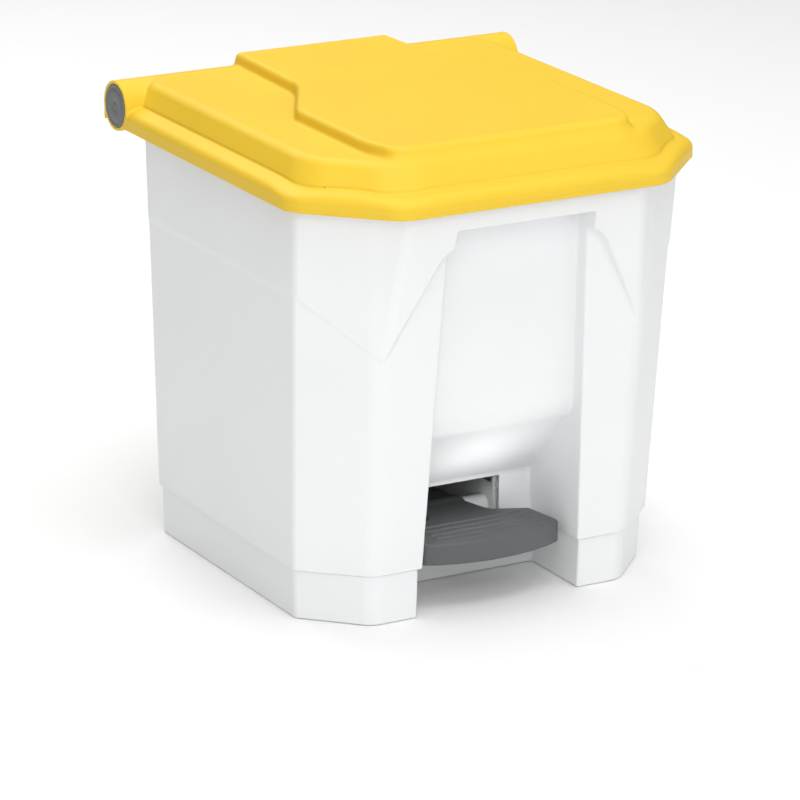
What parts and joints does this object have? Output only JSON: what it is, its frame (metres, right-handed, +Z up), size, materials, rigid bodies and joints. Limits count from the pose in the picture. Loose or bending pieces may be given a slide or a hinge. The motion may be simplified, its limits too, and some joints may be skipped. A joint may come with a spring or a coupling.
{
  "type": "pedal bin",
  "caption": "Free-standing pedal bin: tapered white tub with a foot well, lift-out liner, hinged yellow lid on a rear barrel, and a grey foot pedal that lifts the lid.",
  "frame": {"origin": "centre of the overall box, at floor level under the bin", "axes": "+X to the right seen from the front, +Y towards the hinge at the rear, +Z up"},
  "size_m": [0.41, 0.425, 0.434],
  "materials": {
    "white_plastic": "satin moulded polypropylene",
    "yellow_plastic": "fine-textured moulded polypropylene",
    "grey_plastic": "matt moulded plastic",
    "liner_plastic": "smooth moulded polypropylene",
    "natural_plastic": "natural acetal",
    "steel": "zinc-plated",
    "spring_steel": "blackened",
    "black_rubber": "soft elastomer"
  },
  "bodies": {
    "bin": {"body_shell": "white_plastic", "base_plinth": "white_plastic", "liner_bucket": "liner_plastic", "hinge_bracket_left": "white_plastic", "hinge_bracket_right": "white_plastic", "hinge_bushes": "natural_plastic", "hinge_screws": "steel", "rod_guide_upper": "natural_plastic", "rod_guide_lower": "natural_plastic", "guide_screws": "steel", "pedal_axle": "steel", "axle_block_left": "white_plastic", "axle_block_right": "white_plastic", "axle_block_screws": "steel", "axle_clips": "spring_steel"},
    "lid": {"lid_shell": "yellow_plastic", "hinge_rod": "steel", "hinge_cap_left": "grey_plastic", "hinge_cap_right": "grey_plastic", "lift_crank": "grey_plastic", "crank_screws": "steel", "lid_buffers": "black_rubber"},
    "push_rod": {"lift_rod": "steel", "rod_fork_upper": "grey_plastic", "rod_fork_lower": "grey_plastic", "crank_pin": "steel", "crank_pin_clip": "spring_steel", "rod_pin": "steel", "rod_pin_clip": "spring_steel"},
    "pedal": {"pedal": "grey_plastic", "pedal_bushes": "natural_plastic"}
  },
  "joints": [
    {"name": "lid_open", "type": "hinge", "parent": "bin", "child": "lid", "pos_m": [0, 0.1895, 0.4], "axis": [-1, 0, 0], "range_deg": [0, 70]},
    {"name": "pedal_press", "type": "hinge", "parent": "bin", "child": "pedal", "pos_m": [0, -0.045, 0.052], "axis": [1, 0, 0], "range_deg": [0, 17.18]},
    {"name": "push_rod_lift", "type": "slide", "parent": "bin", "child": "push_rod", "axis": [0, 0, 1], "range_m": [0, 0.0583]}
  ],
  "couplings": [
    {"joint": "pedal_press", "follows": "lid_open", "ratio": 0.24464},
    {"joint": "push_rod_lift", "follows": "lid_open", "m_per_rad": 0.04757}
  ]
}
